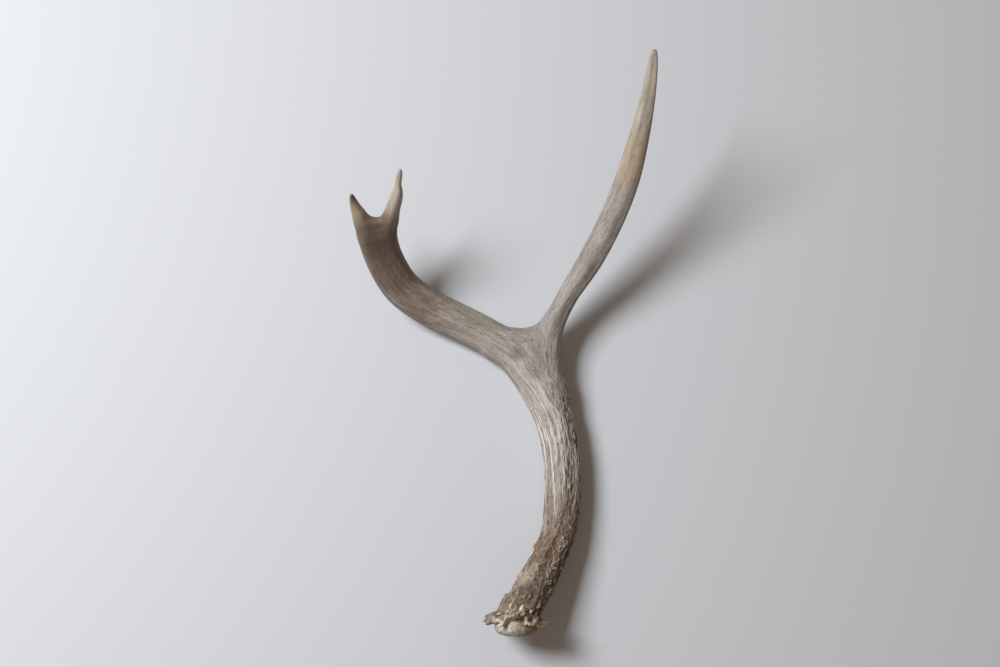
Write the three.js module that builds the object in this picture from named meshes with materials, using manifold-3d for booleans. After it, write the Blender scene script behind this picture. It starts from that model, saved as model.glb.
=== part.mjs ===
// A shed deer antler. One beam rises from the burr, bows, and forks into a front branch, which ends in two
// short tines, and a long rear tine. Millimetres, +Z up. It lies on its back on a level surface.
//
// The antler is laid out in its own growth frame: x across, y along the beam from burr to tips, and z out of
// the hollow side of its bow. The group that holds it then turns it on to its back.
import * as THREE from 'three';
import { mergeVertices } from 'three/addons/utils/BufferGeometryUtils.js';
import Module from 'manifold-3d';

const wasm = await Module();
wasm.setup();

// How the antler lies, and what brings the middle of its underside to the origin.
const layBackDegrees = 11.37;
const layRollDegrees = -8.16;
const restPlace = new THREE.Vector3(11.6, 21.7, 1.9);

// Space kept between the end faces of two pieces that meet.
const splitGap = 0.3;

// Edges shorter than this are closed up after forms are joined. Points closer than the weld are one point.
const shortEdge = 0.15;
const weld = 1e-4;

// A limb's stations are [x, y, z, width, depth]: the centre of a section, its size across and front to back.
const trunkStations = [
  [12.2, -222, 76, 17, 16],        // the seal's flat end
  [12.2, -219.5, 75.4, 28, 26],
  [12.1, -215.5, 74.3, 32, 30],
  [12.4, -210, 72.5, 31, 28.5],    // the burr
  [15, -204.5, 69, 28.5, 27],
  [20.3, -198, 64.5, 27.6, 26.5],
  [27.8, -184, 55.5, 27, 26],
  [37, -167.5, 46.5, 24.6, 25],
  [44.2, -149, 38, 25.8, 25.5],
  [47.6, -127, 31, 27.6, 26.5],
  [48.2, -104.5, 25.5, 28.4, 26.5],
  [45.8, -82, 21.5, 29, 26.5],
  [40.5, -62, 18.5, 30, 26.5],
  [31.5, -43, 16, 31.8, 26],       // the crown, where the rear tine leaves
  [20, -28, 15, 29, 25],
  [9.3, -15, 14, 28.5, 24.5],
  [-2.3, -6.9, 13.5, 28.2, 24],
  [-13.1, -0.4, 13, 28, 24],
  [-33.6, 9.6, 13.5, 28.4, 24],
  [-53.8, 19.6, 18, 28.4, 23],
  [-74.6, 34.8, 30, 28.4, 22.5],
  [-87, 56.5, 49, 28.2, 21],
  [-91.4, 73, 63.3, 28.4, 18.5],
  [-92.4, 77.5, 67, 23.5, 14.5],
  [-92.8, 80.8, 69.7, 14, 8.5],    // between the two short tines
];
const sealEnd = 0;
const frontSplit = 16.6;
const trunkEnd = trunkStations.length - 1;

const rearStations = [
  [44.5, -70, 20, 25, 24],
  [41, -48, 17.5, 25, 23],
  [38.5, -30, 16, 20.5, 23],
  [37.8, -12, 15, 18, 22],
  [40.6, 4, 15, 16.8, 20],
  [50.8, 26.5, 17, 16.4, 18],      // the neck
  [69.2, 56.5, 22, 19, 18],
  [84.4, 86.5, 29, 18.8, 18],
  [95.8, 116, 39.5, 18, 17],
  [103.5, 145, 51, 14.8, 14.5],
  [109, 173, 63.5, 10.8, 10.8],
  [112, 197.5, 75, 7, 7],
  [112.8, 205, 79, 5, 5],
  [113.2, 208.8, 81, 2.4, 2.4],    // the tip
];
const rearSplit = 4.6;
const rearTip = rearStations.length - 1;

const outerStations = [
  [-95, 67, 59, 12, 12],
  [-99.6, 78, 67.5, 14, 13],
  [-103.8, 87.7, 76, 11, 10],
  [-105.8, 92.5, 80, 8, 7.4],
  [-107.3, 97.5, 84, 5, 4.8],
  [-108.2, 102.3, 88.4, 1.5, 1.5],
];
const outerSplit = 2.15;
const outerTip = outerStations.length - 1;

const innerStations = [
  [-88, 67, 59, 12, 12],
  [-82.6, 80, 68, 13.5, 12.5],
  [-78.6, 91.9, 77, 10.6, 10],
  [-76, 99, 81.5, 9.6, 8.8],
  [-74.7, 104.5, 85, 7.6, 7],
  [-74.2, 108.5, 87.5, 5, 5],      // the step
  [-73, 115, 91.3, 4.4, 4.4],
  [-71.6, 119, 93.5, 1.9, 1.9],
];
const innerSplit = 1.85;
const innerTip = innerStations.length - 1;

// The arch of bone that rounds off the inside of the main fork.
const archStations = [
  [-1, -11, 14, 24, 20],
  [10, -10, 14, 28, 22],
  [20, -9.5, 14.5, 28, 23],
  [29, -5, 15, 25, 22],
  [36, 3, 15.5, 17, 18],
  [40.5, 11, 15.8, 11, 14],
];
const archEnd = archStations.length - 1;

// The crown fills the middle of the main fork.
const crown = { centre: [27, -22, 15], halfSizes: [14, 19, 12.4] };

// Long low ridges wind up every limb. A keel, and a hollow beside it, run up some limbs at one angle round
// them, from one station on.
const trunkRelief = {
  ridges: 7,
  height: 0.55,
  turns: 0.55,
  runs: [
    { at: 2.36, height: 1.7, from: 18, spread: 0.4 },
    { at: 1.35, height: -1.5, from: 18.5, spread: 0.6 },
  ],
};
const rearRelief = {
  ridges: 6,
  height: 0.35,
  turns: 0.3,
  runs: [
    { at: 0.5, height: 1.1, from: 5, spread: 0.4 },
    { at: 1.6, height: -0.7, from: 5.5, spread: 0.6 },
  ],
};
const plainRelief = { ridges: 5, height: 0.2, turns: 0.1, runs: [] };

// The ridges grow out of a limb's foot and die out at its tip, and are a little higher on some sides.
// A keel or a hollow takes runIn stations to reach its height and runOut stations to die out.
const ridgeShape = { footGrowth: 6, tipDecay: 1.4, uneven: 0.4, unevenSides: 2, unevenTwist: 9 };
const runIn = 2;
const runOut = 2.5;

// The burr: a rim of knobs round the foot of the beam.
const burr = {
  centre: [11.9, -210, 72.5],
  axis: [0.04, 0.965, -0.26],
  radius: 18.8,
  rimOverhang: 2,
  rimThickness: 4.5,
  knobs: 21,
  knobSize: [5.2, 3.9, 3.7],
  knobGrowth: [0.8, 1.2],          // smallest and largest, in knob sizes
  knobSlip: 0.4,                   // round the rim, in knob spacings
  knobReach: [-1.2, 0.8],          // out from the rim's radius
  knobRise: 2.4,
  seed: 53,
};

// Pearls: small lengthwise knobs, crowded near the burr and thinning out up the beam. Each is a golden turn
// further round than the last, give or take the slip.
const pearls = {
  count: 54,
  from: 4.3,
  to: 9.2,
  length: 4.2,
  lengthGrowth: [0.7, 1.3],
  width: 2.1,
  height: 1.9,
  growth: [0.75, 1.25],
  sunk: 0.3,                       // in pearl heights
  crowding: 1.4,
  slip: 0.5,
  seed: 7,
};
const goldenTurn = Math.PI * (3 - Math.sqrt(5));

// How finely each form is faceted: [steps along, sides round] of a limb, [sides, rows] of a ball.
const facets = {
  beam: [40, 20],
  rearFoot: [9, 16],
  arch: [9, 12],
  branch: [24, 20],
  smallTineFoot: [4, 12],
  rearTine: [30, 16],
  outerTine: [8, 12],
  innerTine: [14, 12],
  crown: [16, 10],
  rim: [20, 6],
  knob: [6, 4],
  pearl: [6, 3],
};

const boneLook = {
  main_beam: { color: 0xa5957f, roughness: 0.72, metalness: 0 },
  front_branch: { color: 0x8a7c6b, roughness: 0.7, metalness: 0 },
  rear_tine: { color: 0xc2b7a4, roughness: 0.62, metalness: 0 },
  front_tine_outer: { color: 0xb9a68a, roughness: 0.6, metalness: 0 },
  front_tine_inner: { color: 0xbfae93, roughness: 0.6, metalness: 0 },
};

// A repeatable stream of numbers from 0 to 1, by Lehmer's rule.
function numberStream(seed) {
  const multiplier = 16807;
  const modulus = 2 ** 31 - 1;
  let state = seed;
  return () => {
    state = (state * multiplier) % modulus;
    return state / modulus;
  };
}

// How high one keel stands, or how deep one hollow lies, at a station and an angle round the limb.
function runAt({ at, height, from, spread }, station, angle) {
  const rise = THREE.MathUtils.clamp((station - from) / runIn, 0, 1);
  const off = Math.atan2(Math.sin(angle - at), Math.cos(angle - at));
  return height * rise * Math.exp(-((off / spread) ** 2));
}

// A smooth line through the stations that gives the section's place, size and directions at any station.
function makeLimb(stations, relief) {
  const centre = new THREE.CatmullRomCurve3(stations.map(([x, y, z]) => new THREE.Vector3(x, y, z)));
  const halves = stations.map(([, , , width, depth]) => new THREE.Vector3(width / 2, depth / 2, 0));
  const size = new THREE.CatmullRomCurve3(halves, false, 'catmullrom');
  const last = stations.length - 1;
  const outOfHollow = new THREE.Vector3(0, 0, 1);

  function sectionAt(station) {
    const along = THREE.MathUtils.clamp(station / last, 0, 1);
    const step = 0.01 / last;
    const ahead = centre.getPoint(Math.min(along + step, 1));
    const behind = centre.getPoint(Math.max(along - step, 0));
    const tangent = ahead.sub(behind).normalize();
    const across = new THREE.Vector3().crossVectors(tangent, outOfHollow).normalize();
    const front = new THREE.Vector3().crossVectors(across, tangent);
    const half = size.getPoint(along);
    return { point: centre.getPoint(along), tangent, across, front, halfWidth: half.x, halfDepth: half.y };
  }

  // How far the skin stands off the plain oval section, at an angle round it.
  function reliefAt(station, angle) {
    const { footGrowth, tipDecay, uneven, unevenSides, unevenTwist } = ridgeShape;
    const along = station / last;
    const fade = Math.min(1, tipDecay * (1 - along)) * Math.min(1, footGrowth * along);
    const turned = relief.ridges * (angle + 2 * Math.PI * relief.turns * along);
    const sway = uneven * Math.sin(unevenSides * angle + unevenTwist * along);
    const ridge = relief.height * fade * (Math.sin(turned) + sway);
    const toTip = THREE.MathUtils.clamp((last - station) / runOut, 0, 1);
    return relief.runs.reduce((lift, run) => lift + toTip * runAt(run, station, angle), ridge);
  }

  function skinAt(station, angle) {
    const { point, across, front, halfWidth, halfDepth } = sectionAt(station);
    const lift = reliefAt(station, angle);
    const outward = across.clone().multiplyScalar(Math.cos(angle) * (halfWidth + lift));
    return point.clone().add(outward).addScaledVector(front, Math.sin(angle) * (halfDepth + lift));
  }

  // The station that lies one split gap past the given one.
  function pastGap(station) {
    const step = 0.01;
    const reach = sectionAt(station + step).point.distanceTo(sectionAt(station).point);
    return station + (splitGap * step) / reach;
  }

  return { sectionAt, skinAt, pastGap };
}

// A closed length of a limb: a unit cylinder whose every point is carried on to the limb's skin.
function limbLength(limb, from, to, [rings, sides]) {
  const geometry = new THREE.CylinderGeometry(1, 1, 1, sides, rings);
  const position = geometry.attributes.position;
  const corner = new THREE.Vector3();
  for (let i = 0; i < position.count; i++) {
    corner.fromBufferAttribute(position, i);
    const station = THREE.MathUtils.lerp(from, to, corner.y + 0.5);
    const isRim = Math.hypot(corner.x, corner.z) > 0.5;
    const angle = Math.atan2(corner.z, corner.x);
    const placed = isRim ? limb.skinAt(station, angle) : limb.sectionAt(station).point;
    position.setXYZ(i, placed.x, placed.y, placed.z);
  }
  return geometry;
}

// A ball stretched to three half sizes, its axes laid along three directions.
function knob(centre, directions, halfSizes, [sides, rows]) {
  const axes = directions.map((direction, i) => direction.clone().multiplyScalar(halfSizes[i]));
  const [first, second, third] = axes;
  const placing = new THREE.Matrix4().makeBasis(first, second, third).setPosition(centre);
  return new THREE.SphereGeometry(1, sides, rows).applyMatrix4(placing);
}

function solidOf(geometry) {
  geometry.deleteAttribute('normal');
  geometry.deleteAttribute('uv');
  const { attributes, index } = mergeVertices(geometry, weld);
  const vertProperties = attributes.position.array;
  const triVerts = new Uint32Array(index.array);
  return new wasm.Manifold(new wasm.Mesh({ numProp: 3, vertProperties, triVerts }));
}

function geometryOf(solid) {
  const { vertProperties, triVerts } = solid.getMesh();
  const geometry = new THREE.BufferGeometry();
  geometry.setAttribute('position', new THREE.BufferAttribute(vertProperties, 3));
  geometry.setIndex(new THREE.BufferAttribute(triVerts, 1));
  return geometry;
}

// Draws the two ends of each short edge together, wherever the skin stays single and closed.
function closeShortEdges(geometry) {
  const { position } = geometry.attributes;
  const pointAt = (_, i) => new THREE.Vector3().fromBufferAttribute(position, i);
  const points = Array.from({ length: position.count }, pointAt);
  const facesAt = points.map(() => new Set());
  for (let i = 0; i < geometry.index.count; i += 3) {
    const face = [0, 1, 2].map((corner) => geometry.index.getX(i + corner));
    face.forEach((corner) => facesAt[corner].add(face));
  }
  const aroundAndSelf = (corner) => new Set([...facesAt[corner]].flat());
  const canClose = (kept, gone) => {
    const shared = [...aroundAndSelf(kept)].filter((corner) => aroundAndSelf(gone).has(corner));
    return points[kept].distanceTo(points[gone]) < shortEdge && shared.length === 4;
  };
  for (let kept = 0; kept < points.length; kept++) {
    for (const gone of aroundAndSelf(kept)) {
      if (gone === kept || !canClose(kept, gone)) continue;
      for (const face of [...facesAt[gone]]) {
        facesAt[gone].delete(face);
        if (face.includes(kept)) {
          face.forEach((corner) => facesAt[corner].delete(face));
        } else {
          face[face.indexOf(gone)] = kept;
          facesAt[kept].add(face);
        }
      }
    }
  }
  const faces = new Set(facesAt.flatMap((around) => [...around]));
  geometry.setIndex([...faces].flat());
  return geometry;
}

// One solid out of several that overlap.
function fuse(geometries) {
  const joined = geometries.map(solidOf).reduce((whole, next) => whole.add(next));
  return solidOf(closeShortEdges(geometryOf(joined)));
}

function meshOf(name, solid) {
  const geometry = geometryOf(solid);
  geometry.computeVertexNormals();
  const mesh = new THREE.Mesh(geometry, new THREE.MeshStandardMaterial(boneLook[name]));
  mesh.name = name;
  return mesh;
}

function crownForm() {
  const directions = [new THREE.Vector3(1, 0, 0), new THREE.Vector3(0, 1, 0), new THREE.Vector3(0, 0, 1)];
  return knob(new THREE.Vector3(...crown.centre), directions, crown.halfSizes, facets.crown);
}

// The rim under the knobs, and the knobs themselves, uneven in size and height.
function burrForms() {
  const random = numberStream(burr.seed);
  const axis = new THREE.Vector3(...burr.axis).normalize();
  const point = new THREE.Vector3(...burr.centre);
  const right = new THREE.Vector3().crossVectors(axis, new THREE.Vector3(0, 0, 1)).normalize();
  const front = new THREE.Vector3().crossVectors(right, axis);
  const rimRadius = burr.radius + burr.rimOverhang;
  const forms = [knob(point, [right, axis, front], [rimRadius, burr.rimThickness, rimRadius], facets.rim)];
  for (let i = 0; i < burr.knobs; i++) {
    const angle = (2 * Math.PI * (i + burr.knobSlip * (random() - 0.5))) / burr.knobs;
    const outward = right.clone().multiplyScalar(Math.cos(angle)).addScaledVector(front, Math.sin(angle));
    const sideways = new THREE.Vector3().crossVectors(axis, outward);
    const grow = THREE.MathUtils.lerp(...burr.knobGrowth, random());
    const reach = burr.radius + THREE.MathUtils.lerp(...burr.knobReach, random());
    const centre = point.clone().addScaledVector(outward, reach);
    centre.addScaledVector(axis, burr.knobRise * (random() - 0.5));
    const [radial, around, axial] = burr.knobSize;
    const halfSizes = [radial, around * grow, axial * grow];
    forms.push(knob(centre, [outward, sideways, axis], halfSizes, facets.knob));
  }
  return forms;
}

function pearlForms(trunk) {
  const random = numberStream(pearls.seed);
  const forms = [];
  for (let i = 0; i < pearls.count; i++) {
    const station = THREE.MathUtils.lerp(pearls.from, pearls.to, random() ** pearls.crowding);
    const angle = i * goldenTurn + pearls.slip * random();
    const { point, tangent } = trunk.sectionAt(station);
    const skin = trunk.skinAt(station, angle);
    const outward = skin.clone().sub(point).normalize();
    const sideways = new THREE.Vector3().crossVectors(tangent, outward).normalize();
    const along = new THREE.Vector3().crossVectors(outward, sideways);
    const grow = THREE.MathUtils.lerp(...pearls.growth, random());
    const length = pearls.length * THREE.MathUtils.lerp(...pearls.lengthGrowth, random());
    const halfSizes = [pearls.height * grow, pearls.width * grow, length];
    const centre = skin.addScaledVector(outward, -pearls.sunk * pearls.height);
    forms.push(knob(centre, [outward, sideways, along], halfSizes, facets.pearl));
  }
  return forms;
}

const trunk = makeLimb(trunkStations, trunkRelief);
const rear = makeLimb(rearStations, rearRelief);
const outer = makeLimb(outerStations, plainRelief);
const inner = makeLimb(innerStations, plainRelief);
const arch = makeLimb(archStations, { ...plainRelief, height: 0 });

const mainBeam = fuse([
  limbLength(trunk, sealEnd, frontSplit, facets.beam),
  limbLength(rear, 0, rearSplit, facets.rearFoot),
  limbLength(arch, 0, archEnd, facets.arch),
  crownForm(),
  ...burrForms(),
  ...pearlForms(trunk),
]);
const frontBranch = fuse([
  limbLength(trunk, trunk.pastGap(frontSplit), trunkEnd, facets.branch),
  limbLength(outer, 0, outerSplit, facets.smallTineFoot),
  limbLength(inner, 0, innerSplit, facets.smallTineFoot),
]);
const rearTine = fuse([limbLength(rear, rear.pastGap(rearSplit), rearTip, facets.rearTine)]);
const outerTine = fuse([limbLength(outer, outer.pastGap(outerSplit), outerTip, facets.outerTine)]);
const innerTine = fuse([limbLength(inner, inner.pastGap(innerSplit), innerTip, facets.innerTine)]);

const asGrown = new THREE.Group();
asGrown.add(meshOf('main_beam', mainBeam));
asGrown.add(meshOf('front_branch', frontBranch));
asGrown.add(meshOf('rear_tine', rearTine));
asGrown.add(meshOf('front_tine_outer', outerTine));
asGrown.add(meshOf('front_tine_inner', innerTine));
const layBack = THREE.MathUtils.degToRad(layBackDegrees);
const layRoll = THREE.MathUtils.degToRad(layRollDegrees);
asGrown.rotation.set(layBack, layRoll, 0, 'YXZ');
asGrown.position.copy(restPlace);

const antler = new THREE.Group();
antler.add(asGrown);

export default antler;
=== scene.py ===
import math

import bmesh
import bpy
import numpy as np
from mathutils import Matrix, Vector


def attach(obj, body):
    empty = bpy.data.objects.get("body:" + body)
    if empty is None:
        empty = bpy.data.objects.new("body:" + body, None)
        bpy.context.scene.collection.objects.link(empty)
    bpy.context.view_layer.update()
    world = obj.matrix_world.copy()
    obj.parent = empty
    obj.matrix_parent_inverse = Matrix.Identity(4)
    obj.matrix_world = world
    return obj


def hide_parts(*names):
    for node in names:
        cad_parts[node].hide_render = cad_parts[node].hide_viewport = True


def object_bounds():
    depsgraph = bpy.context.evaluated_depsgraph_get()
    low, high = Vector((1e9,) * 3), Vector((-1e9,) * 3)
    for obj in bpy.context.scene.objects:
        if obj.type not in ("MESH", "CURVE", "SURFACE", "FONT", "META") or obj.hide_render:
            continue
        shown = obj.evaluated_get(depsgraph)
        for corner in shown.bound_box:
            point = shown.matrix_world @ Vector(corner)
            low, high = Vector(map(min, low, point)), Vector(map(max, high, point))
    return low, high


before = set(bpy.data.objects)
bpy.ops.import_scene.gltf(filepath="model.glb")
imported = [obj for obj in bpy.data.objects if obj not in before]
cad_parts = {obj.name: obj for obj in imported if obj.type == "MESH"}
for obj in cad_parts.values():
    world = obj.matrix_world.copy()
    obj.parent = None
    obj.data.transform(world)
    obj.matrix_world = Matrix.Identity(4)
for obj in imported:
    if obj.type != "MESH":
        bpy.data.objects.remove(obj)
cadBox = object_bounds()
print("frame loaded, box", [round(side, 4) for side in cadBox[1] - cadBox[0]])

# The antler is shaped in millimetres as it grew (x across, y from burr to tips, z out of the hollow of its
# bow), and asLaid turns it on to its back and brings it to metres.
laying = {"back": 11.37, "roll": -8.16, "place": (0.0116, 0.0217, 0.0019)}
turned = Matrix.Rotation(math.radians(laying["roll"]), 4, "Y") @ Matrix.Rotation(math.radians(laying["back"]), 4, "X")
lain = Matrix.Translation(laying["place"]) @ turned
asLaid = lain @ Matrix.Scale(0.001, 4)


# Short ways to add nodes, for shaders and geometry trees alike.
def addNode(tree, kind, settings=None, plugs=None):
    node = tree.nodes.new(kind)
    for setting, value in (settings or {}).items():
        setattr(node, setting, value)
    for socket, value in (plugs or {}).items():
        if isinstance(value, bpy.types.NodeSocket):
            tree.links.new(value, node.inputs[socket])
        else:
            node.inputs[socket].default_value = value
    return node


def calc(tree, operation, first, second=0.0, third=0.0):
    plugs = {0: first, 1: second, 2: third}
    return addNode(tree, "ShaderNodeMath", {"operation": operation}, plugs).outputs[0]


def vectorCalc(tree, operation, first, second):
    return addNode(tree, "ShaderNodeVectorMath", {"operation": operation}, {0: first, 1: second}).outputs[0]


def ease(tree, value, start, end, low=0.0, high=1.0):
    plugs = {0: value, 1: start, 2: end, 3: low, 4: high}
    return addNode(tree, "ShaderNodeMapRange", {"interpolation_type": "SMOOTHSTEP"}, plugs).outputs[0]


def noise(tree, place, detail=2.0, roughness=0.5, distortion=0.0):
    plugs = {"Vector": place, "Scale": 1.0, "Detail": detail, "Roughness": roughness, "Distortion": distortion}
    return addNode(tree, "ShaderNodeTexNoise", None, plugs)


def mixed(tree, share, first, second):
    return addNode(tree, "ShaderNodeMix", {"data_type": "FLOAT"}, {0: share, 2: first, 3: second}).outputs[0]


# The grain is two sets of coordinates, one along the beam and front branch and one along the side tines.
# A pattern is read in both and blended by value, so its lines part at the forks as the bone's do. Spread
# gives the blend the contrast of a single pattern.
def readGrains(tree, beam, side, share):
    other = calc(tree, "SUBTRACT", 1.0, share)
    squares = calc(tree, "MULTIPLY_ADD", share, share, calc(tree, "MULTIPLY", other, other))
    return {"beam": beam, "side": side, "share": share, "spread": calc(tree, "SQRT", squares)}


def grainNoise(tree, grains, scale, detail=2.0, roughness=0.5, warp=0.0, warpScale=0.08):
    read = []
    for grain in (grains["beam"], grains["side"]):
        if warp:
            swirl = noise(tree, vectorCalc(tree, "MULTIPLY", grain, (warpScale,) * 3), 1.0).outputs[1]
            bent = vectorCalc(tree, "MULTIPLY", vectorCalc(tree, "SUBTRACT", swirl, (0.5, 0.5, 0.5)), (warp,) * 3)
            grain = vectorCalc(tree, "ADD", grain, bent)
        read.append(noise(tree, vectorCalc(tree, "MULTIPLY", grain, scale), detail, roughness).outputs[0])
    offMiddle = calc(tree, "SUBTRACT", mixed(tree, grains["share"], *read), 0.5)
    return calc(tree, "ADD", calc(tree, "DIVIDE", offMiddle, grains["spread"]), 0.5)


# These fields are used by the relief and by the bone shader, so colour and shape fall together.
patternLook = {
    "furrow": {"scale": (0.95, 0.95, 0.13), "warp": 2.0, "shallow": 0.49, "deep": 0.575},
    "crest": {"scale": (0.15, 0.15, 0.055), "warp": 8.0, "halfWidth": 0.055},
    "curl": {"scale": (0.36, 0.36, 0.14), "warp": 5.0, "halfWidth": 0.07},
}


def furrowField(tree, grains):
    look = patternLook["furrow"]
    streak = grainNoise(tree, grains, look["scale"], 2.0, 0.5, look["warp"])
    return ease(tree, streak, look["shallow"], look["deep"])


def crestField(tree, grains, name):
    # Thin winding lines, 1 on a line and 0 away from it.
    look = patternLook[name]
    fold = grainNoise(tree, grains, look["scale"], 1.0, 0.5, look["warp"])
    return ease(tree, calc(tree, "ABSOLUTE", calc(tree, "SUBTRACT", fold, 0.5)), look["halfWidth"], 0.0)


# A station is [x, y, z, width, depth]. A look is [station, pale, warm, rubbed, pearled, furrowed].
trunkLimb = {
    "stations": [
        [12.2, -222, 76, 17, 16], [12.2, -219.5, 75.4, 28.5, 26.5], [12.1, -215.5, 74.3, 32.5, 30.5],
        [12.4, -210, 72.5, 31, 28.5], [15, -204.5, 69, 28.5, 27], [20.3, -198, 64.5, 27.6, 26.5],
        [27.8, -184, 55.5, 27, 26], [37, -167.5, 46.5, 24.6, 25], [44.2, -149, 38, 25.8, 25.5],
        [47.6, -127, 31, 27.6, 26.5], [48.2, -104.5, 25.5, 28.4, 26.5], [45.8, -82, 21.5, 29, 26.5],
        [40.5, -62, 18.5, 30, 26.5], [31.5, -43, 16, 31.8, 26], [20, -28, 15, 29, 25],
        [9.3, -15, 14, 28.5, 24.5], [-2.3, -6.9, 13.5, 28.2, 24], [-13.1, -0.4, 13, 28, 24],
        [-33.6, 9.6, 13.5, 28.4, 24], [-53.8, 19.6, 18, 28.4, 23], [-74.6, 34.8, 30, 28.4, 22.5],
        [-87, 56.5, 49, 28.2, 21], [-91.4, 73, 63.3, 28.4, 18.5], [-92.4, 77.5, 67, 23.5, 14.5],
        [-92.8, 80.8, 69.7, 14, 8.5],
    ],
    "looks": [
        [0, 0.5, 0.8, 0, 0, 0], [2.2, 0.5, 0.85, 0, 0.05, 0], [2.8, 0.45, 0.85, 0, 0.8, 0.2],
        [4, 0.34, 0.9, 0, 1, 0.3], [6, 0.33, 0.85, 0, 1, 0.5], [7.6, 0.37, 0.8, 0, 0.85, 0.7],
        [8.4, 0.47, 0.65, 0, 0.5, 0.9],
        [9.5, 0.57, 0.5, 0, 0.28, 1], [11, 0.64, 0.38, 0, 0.12, 1], [12.5, 0.66, 0.25, 0, 0.02, 0.7],
        [14, 0.6, 0.2, 0, 0, 0.3], [16, 0.57, 0.3, 0, 0, 0.25], [18.5, 0.54, 0.45, 0, 0, 0.25],
        # From station 20 on, the low pale values give the front branch its brown and also paint the shade on its face.
        [20, 0.49, 0.6, 0, 0, 0.2], [21, 0.42, 0.8, 0.1, 0, 0.1], [22, 0.35, 0.9, 0.2, 0, 0.1],
        [24, 0.34, 0.9, 0.3, 0, 0],
    ],
    "ridges": {"count": 7, "height": 0.55, "turns": 0.55, "keelAt": 2.36, "keelHeight": 1.9, "keelFrom": 18,
               "hollowAt": 1.35, "hollowDepth": 1.7, "hollowFrom": 18.5},
    "flatStart": True,
}
rearLimb = {
    "stations": [
        [43, -70, 19, 8, 8], [41.2, -48, 17.5, 22.5, 21.5], [38.5, -30, 16, 20.5, 23], [37.8, -12, 15, 18, 22],
        [40.6, 4, 15, 16.8, 20], [50.8, 26.5, 17, 16.4, 18], [69.2, 56.5, 22, 19, 18], [84.4, 86.5, 29, 18.8, 18],
        [95.8, 116, 39.5, 18, 17], [103.5, 145, 51, 14.8, 14.5], [109, 173, 63.5, 10.8, 10.8],
        [112, 197.5, 75, 7, 7], [112.8, 205, 79, 5, 5], [113.2, 208.8, 81, 2.4, 2.4],
    ],
    "looks": [
        [0, 0.6, 0.35, 0, 0, 0.6], [2, 0.57, 0.25, 0, 0, 0.3], [4, 0.57, 0.15, 0, 0, 0.15],
        [6, 0.58, 0.15, 0, 0, 0.1], [8, 0.56, 0.35, 0.1, 0, 0.1], [9, 0.58, 0.5, 0.25, 0, 0.05],
        [10, 0.63, 0.6, 0.45, 0, 0], [12, 0.66, 0.6, 0.7, 0, 0], [13, 0.62, 0.5, 1, 0, 0],
    ],
    "ridges": {"count": 6, "height": 0.35, "turns": 0.3, "keelAt": 0.5, "keelHeight": 1.2, "keelFrom": 5,
               "hollowAt": 1.6, "hollowDepth": 0.7, "hollowFrom": 5.5},
    "joins": 3.2,  # stations over which its looks and grain come in from its foot
}
outerLimb = {
    "stations": [
        [-92, 62, 54, 6, 6], [-99.6, 78, 67.5, 14, 13], [-103.8, 87.7, 76, 11, 10], [-105.8, 92.5, 80, 8, 7.4],
        [-107.3, 97.5, 84, 5, 4.8], [-108.3, 102.6, 88.6, 1.2, 1.2],
    ],
    "looks": [[0, 0.36, 0.8, 0.4, 0, 0], [1, 0.4, 0.8, 0.5, 0, 0], [2, 0.56, 0.8, 0.8, 0, 0],
              [3.5, 0.5, 0.8, 1, 0, 0], [5, 0.3, 0.7, 1, 0, 0]],
    "ridges": {"count": 5, "height": 0.2, "turns": 0.1},
    "joins": 2.2,
}
innerLimb = {
    "stations": [
        [-90, 62, 54, 6, 6], [-82.6, 80, 68, 13.5, 12.5], [-78.6, 91.9, 77, 10.6, 10], [-76, 99, 81.5, 9.6, 8.8],
        [-74.7, 104.5, 85, 7.6, 7], [-74.2, 108.5, 87.5, 5, 5], [-73, 115, 91.3, 4.4, 4.4], [-71.6, 119.2, 93.6, 1.8, 1.8],
    ],
    "looks": [[0, 0.36, 0.8, 0.4, 0, 0], [1, 0.44, 0.8, 0.5, 0, 0], [2, 0.6, 0.75, 0.8, 0, 0],
              [4, 0.7, 0.7, 1, 0, 0], [6, 0.7, 0.75, 1, 0, 0], [7, 0.52, 0.9, 1, 0, 0]],
    "ridges": {"count": 5, "height": 0.2, "turns": 0.1},
    "joins": 2.0,
}
archLimb = {  # the arch of bone that rounds off the inside of the main fork
    "stations": [
        [-4, -9.5, 14, 20, 16], [10, -10, 14, 28, 22], [20, -9.5, 14.5, 28, 23], [29, -5, 15, 25, 22],
        [36, 3, 15.5, 17, 18], [40.5, 11, 15.8, 11, 14],
    ],
    "looks": [[0, 0.6, 0.2, 0, 0, 0.45]],
    "ridges": {"count": 5, "height": 0, "turns": 0},
}
crownLook = {"centre": (27, -22, 15), "halfSizes": (14, 19, 12.4)}
splits = {"front": 16.6, "rear": 4.6, "outer": 2.15, "inner": 1.85}
limbSteps = 12  # samples between two stations
spreads = {"keel": 0.35, "hollow": 0.6}  # in radians round the limb


def hermite(first, second, tangentIn, tangentOut, t):
    square, cube = t * t, t * t * t
    blend = [2 * cube - 3 * square + 1, cube - 2 * square + t, 3 * square - 2 * cube, cube - square]
    return sum(part * values for part, values in zip(blend, [first, tangentIn, second, tangentOut]))


def splineThrough(points, stations, centripetal):
    points = np.vstack([2 * points[0] - points[1], points, 2 * points[-1] - points[-2]])
    span = np.clip(np.floor(stations).astype(int), 0, len(points) - 4)
    before, first, second, after = (points[span + shift] for shift in range(4))
    if centripetal:
        gaps = [np.linalg.norm(b - a, axis=1, keepdims=True) ** 0.5
                for a, b in [(before, first), (first, second), (second, after)]]
    else:
        gaps = [np.ones((len(stations), 1))] * 3
    slopeIn = (first - before) / gaps[0] - (second - before) / (gaps[0] + gaps[1]) + (second - first) / gaps[1]
    slopeOut = (second - first) / gaps[1] - (after - first) / (gaps[1] + gaps[2]) + (after - second) / gaps[2]
    return hermite(first, second, slopeIn * gaps[1], slopeOut * gaps[1], (stations - span)[:, None])


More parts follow.
